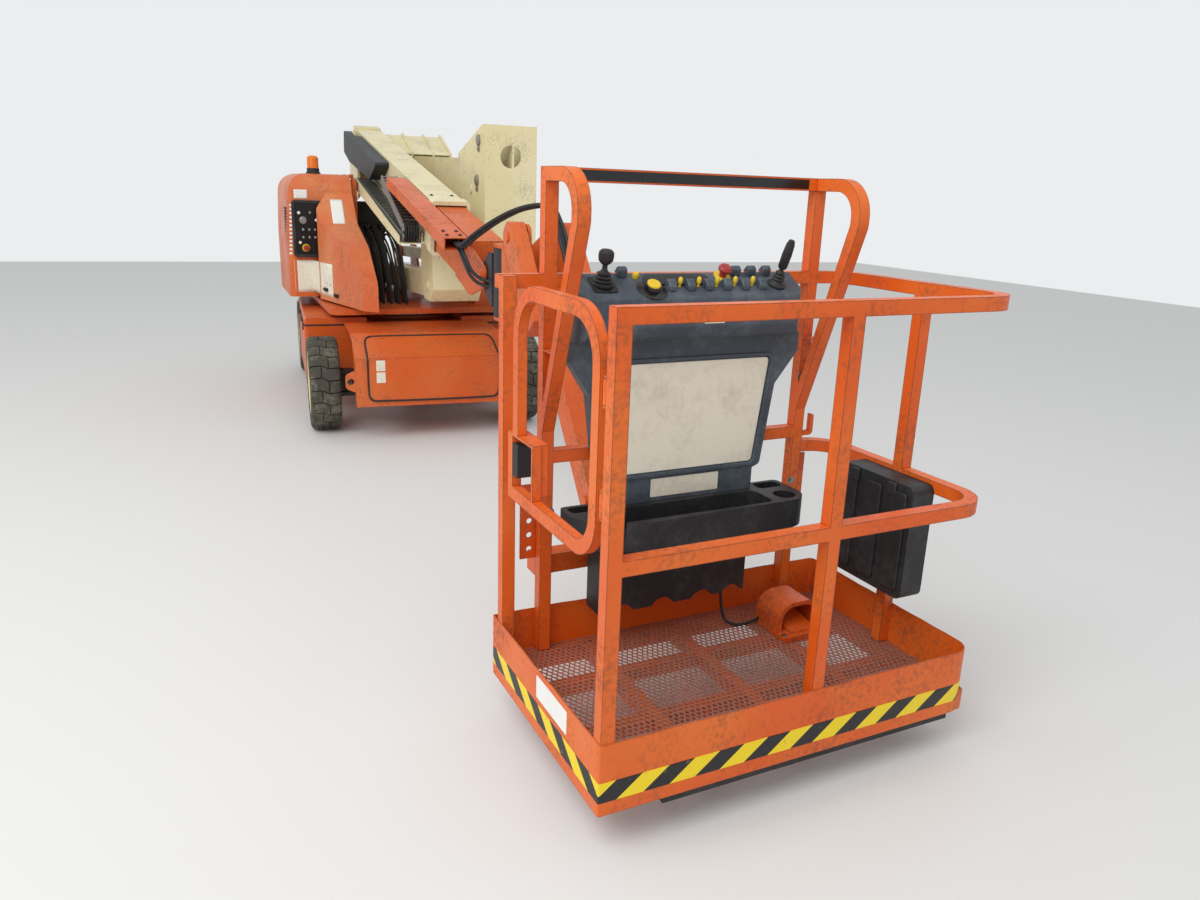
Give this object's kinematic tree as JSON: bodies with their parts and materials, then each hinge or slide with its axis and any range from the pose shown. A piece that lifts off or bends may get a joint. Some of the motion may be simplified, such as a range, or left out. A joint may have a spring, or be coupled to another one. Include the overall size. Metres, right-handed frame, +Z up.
{
  "type": "articulating boom lift",
  "caption": "Battery-driven articulating boom lift with folding risers, telescoping main boom, swinging jib and railed work platform, parked stowed.",
  "frame": {"origin": "on the ground under the middle of the stowed machine", "axes": "+X from the chassis to the platform, +Y to the machine's left, +Z up"},
  "size_m": [6.7539, 1.6748, 2.015],
  "materials": {
    "amber": "clear amber dome",
    "black_plastic": "moulded, matt",
    "chrome": "hard chrome",
    "cream_paint": "gloss enamel, scuffed",
    "dark_paint": "satin black",
    "orange_paint": "gloss enamel, scuffed",
    "steel": "bare machined steel",
    "tyre": "solid rubber"
  },
  "bodies": {
    "chassis": {"chassis_frame": "orange_paint", "end_covers": "orange_paint", "battery_boxes": "orange_paint", "slew_ring": "steel", "axles": "dark_paint"},
    "knuckle_left": {"knuckle_left": "dark_paint"},
    "knuckle_right": {"knuckle_right": "dark_paint"},
    "tie_rod": {"tie_rod": "dark_paint"},
    "turntable": {"turntable": "orange_paint", "counterweight": "orange_paint", "power_pack": "dark_paint"},
    "hood": {"hood": "orange_paint", "ground_controls": "black_plastic", "beacon": "amber"},
    "lower_riser": {"lower_riser_arm": "cream_paint"},
    "lower_link": {"lower_riser_link": "cream_paint"},
    "riser_barrel": {"riser_cylinder_barrel": "dark_paint"},
    "riser_rod": {"riser_cylinder_rod": "chrome"},
    "middle_upright": {"middle_upright": "cream_paint"},
    "upper_riser": {"upper_riser_arm": "cream_paint"},
    "upper_link": {"upper_riser_link": "cream_paint"},
    "rear_upright": {"rear_upright": "cream_paint"},
    "boom": {"main_boom": "cream_paint", "wear_pads": "black_plastic", "boom_cover": "black_plastic", "power_track": "dark_paint", "track_tray": "cream_paint"},
    "fly": {"fly_boom": "orange_paint", "cable_tube": "orange_paint"},
    "main_barrel": {"main_cylinder_barrel": "dark_paint"},
    "main_rod": {"main_cylinder_rod": "chrome"},
    "level_head": {"level_head": "orange_paint", "swing_actuator": "dark_paint"},
    "jib_base": {"jib_base": "orange_paint"},
    "jib": {"jib_arm": "orange_paint"},
    "jib_link": {"jib_link": "orange_paint"},
    "jib_barrel": {"jib_cylinder_barrel": "dark_paint"},
    "jib_rod": {"jib_cylinder_rod": "chrome"},
    "platform_support": {"platform_support": "orange_paint", "turn_actuator": "dark_paint"},
    "platform": {"platform_bracket": "orange_paint", "platform_floor": "orange_paint", "platform_rails": "orange_paint", "control_console": "black_plastic", "tool_tray": "black_plastic", "document_case": "black_plastic", "foot_pedal": "orange_paint", "platform_bumper": "black_plastic"},
    "gate": {"platform_gate": "orange_paint"},
    "wheel_front_left": {"tyre_front_left": "tyre", "wheel_front_left": "cream_paint"},
    "wheel_front_right": {"tyre_front_right": "tyre", "wheel_front_right": "cream_paint"},
    "wheel_rear_left": {"tyre_rear_left": "tyre", "wheel_rear_left": "cream_paint"},
    "wheel_rear_right": {"tyre_rear_right": "tyre", "wheel_rear_right": "cream_paint"}
  },
  "joints": [
    {"name": "steer_left", "type": "hinge", "parent": "chassis", "child": "knuckle_left", "pos_m": [-0.86043, 0.47357, 0.3], "axis": [0, 0, 1], "range_deg": [-35, 35]},
    {"name": "steer_right", "type": "hinge", "parent": "chassis", "child": "knuckle_right", "pos_m": [-0.93646, -0.61378, 0.3], "axis": [0, 0, 1], "range_deg": [-35, 35]},
    {"name": "tie_rod_slide", "type": "slide", "parent": "chassis", "child": "tie_rod", "axis": [0.0698, 0.9976, 0], "range_m": [-0.085, 0.085]},
    {"name": "front_left_wheel_spin", "type": "hinge", "parent": "knuckle_left", "child": "wheel_front_left", "pos_m": [-0.85276, 0.5833, 0.3], "axis": [0.0698, 0.9976, 0], "continuous": true},
    {"name": "front_right_wheel_spin", "type": "hinge", "parent": "knuckle_right", "child": "wheel_front_right", "pos_m": [-0.94414, -0.72351, 0.3], "axis": [0.0698, 0.9976, 0], "continuous": true},
    {"name": "rear_left_wheel_spin", "type": "hinge", "parent": "chassis", "child": "wheel_rear_left", "pos_m": [-2.85786, 0.72351, 0.3], "axis": [0.0698, 0.9976, 0], "continuous": true},
    {"name": "rear_right_wheel_spin", "type": "hinge", "parent": "chassis", "child": "wheel_rear_right", "pos_m": [-2.94924, -0.5833, 0.3], "axis": [0.0698, 0.9976, 0], "continuous": true},
    {"name": "slew", "type": "hinge", "parent": "chassis", "child": "turntable", "pos_m": [-1.901, 0, 0.69], "axis": [0, 0, 1], "range_deg": [-177.5, 177.5]},
    {"name": "hood_hinge", "type": "hinge", "parent": "turntable", "child": "hood", "pos_m": [-1.901, -0.338, 1.602], "axis": [-1, 0, 0], "range_deg": [0, 60]},
    {"name": "riser_lift", "type": "hinge", "parent": "turntable", "child": "lower_riser", "pos_m": [-2.681, 0, 0.85], "axis": [0, -1, 0], "range_deg": [0, 66]},
    {"name": "lower_link_hinge", "type": "hinge", "parent": "turntable", "child": "lower_link", "pos_m": [-2.751, 0, 1.02], "axis": [0, -1, 0], "range_deg": [0, 66]},
    {"name": "riser_barrel_hinge", "type": "hinge", "parent": "turntable", "child": "riser_barrel", "pos_m": [-2.481, 0, 0.78], "axis": [0, -1, 0], "range_deg": [0, 76]},
    {"name": "riser_rod_slide", "type": "slide", "parent": "riser_barrel", "child": "riser_rod", "axis": [0.9856, 0, 0.169], "range_m": [0, 0.2]},
    {"name": "middle_upright_hinge", "type": "hinge", "parent": "lower_riser", "child": "middle_upright", "pos_m": [-0.841, 0, 0.93], "axis": [0, -1, 0], "range_deg": [-66, 0]},
    {"name": "upper_riser_hinge", "type": "hinge", "parent": "middle_upright", "child": "upper_riser", "pos_m": [-0.891, 0, 1.545], "axis": [0, 1, 0], "range_deg": [0, 66]},
    {"name": "upper_link_hinge", "type": "hinge", "parent": "middle_upright", "child": "upper_link", "pos_m": [-0.831, 0, 1.375], "axis": [0, 1, 0], "range_deg": [0, 66]},
    {"name": "rear_upright_hinge", "type": "hinge", "parent": "upper_riser", "child": "rear_upright", "pos_m": [-2.891, 0, 1.6], "axis": [0, 1, 0], "range_deg": [-66, 0]},
    {"name": "boom_lift", "type": "hinge", "parent": "rear_upright", "child": "boom", "pos_m": [-3.031, -0.035, 1.88], "axis": [0, -1, 0], "range_deg": [0, 86]},
    {"name": "main_barrel_hinge", "type": "hinge", "parent": "rear_upright", "child": "main_barrel", "pos_m": [-2.871, -0.035, 1.58], "axis": [0, -1, 0], "range_deg": [0, 90]},
    {"name": "main_rod_slide", "type": "slide", "parent": "main_barrel", "child": "main_rod", "axis": [0.9762, 0, -0.217], "range_m": [0, 0.48]},
    {"name": "telescope", "type": "slide", "parent": "boom", "child": "fly", "axis": [0.9816, 0, -0.1908], "range_m": [0, 1.45]},
    {"name": "level_head_hinge", "type": "hinge", "parent": "fly", "child": "level_head", "pos_m": [0.67573, -0.035, 1.13911], "axis": [0, -1, 0], "range_deg": [-86, 0]},
    {"name": "jib_swing", "type": "hinge", "parent": "level_head", "child": "jib_base", "pos_m": [0.859, -0.035, 1.125], "axis": [0, 0, 1], "range_deg": [-90, 90]},
    {"name": "jib_lift", "type": "hinge", "parent": "jib_base", "child": "jib", "pos_m": [1.279, -0.035, 1.36], "axis": [0, -1, 0], "range_deg": [-10, 132]},
    {"name": "jib_link_hinge", "type": "hinge", "parent": "jib_base", "child": "jib_link", "pos_m": [1.317, -0.035, 1.194], "axis": [0, -1, 0], "range_deg": [-10, 132]},
    {"name": "jib_barrel_hinge", "type": "hinge", "parent": "jib_base", "child": "jib_barrel", "pos_m": [1.119, -0.035, 1.2], "axis": [0, -1, 0], "range_deg": [-10, 110]},
    {"name": "jib_rod_slide", "type": "slide", "parent": "jib_barrel", "child": "jib_rod", "axis": [0.8099, 0, -0.5865], "range_m": [-0.03, 0.27]},
    {"name": "platform_level_hinge", "type": "hinge", "parent": "jib", "child": "platform_support", "pos_m": [2.079, -0.035, 0.43], "axis": [0, -1, 0], "range_deg": [-132, 10]},
    {"name": "platform_turn", "type": "hinge", "parent": "platform_support", "child": "platform", "pos_m": [2.319, -0.035, 0.33], "axis": [0, 0, 1], "range_deg": [-90, 90]},
    {"name": "gate_hinge", "type": "hinge", "parent": "platform", "child": "gate", "pos_m": [3.32683, -0.62318, 0.9], "axis": [0, 0, -1], "range_deg": [0, 88]}
  ],
  "couplings": [
    {"joint": "steer_right", "follows": "steer_left", "ratio": 1},
    {"joint": "tie_rod_slide", "follows": "steer_left", "m_per_rad": -0.13},
    {"joint": "lower_link_hinge", "follows": "riser_lift", "ratio": 1},
    {"joint": "riser_barrel_hinge", "follows": "riser_lift", "ratio": 1.1244},
    {"joint": "riser_rod_slide", "follows": "riser_lift", "m_per_rad": 0.1688},
    {"joint": "middle_upright_hinge", "follows": "riser_lift", "ratio": -1},
    {"joint": "upper_riser_hinge", "follows": "riser_lift", "ratio": 1},
    {"joint": "upper_link_hinge", "follows": "riser_lift", "ratio": 1},
    {"joint": "rear_upright_hinge", "follows": "riser_lift", "ratio": -1},
    {"joint": "main_barrel_hinge", "follows": "boom_lift", "ratio": 1.0294},
    {"joint": "main_rod_slide", "follows": "boom_lift", "m_per_rad": 0.3088},
    {"joint": "level_head_hinge", "follows": "boom_lift", "ratio": -1},
    {"joint": "jib_link_hinge", "follows": "jib_lift", "ratio": 1},
    {"joint": "jib_barrel_hinge", "follows": "jib_lift", "ratio": 0.8043},
    {"joint": "jib_rod_slide", "follows": "jib_lift", "m_per_rad": 0.114},
    {"joint": "platform_level_hinge", "follows": "jib_lift", "ratio": -1}
  ]
}
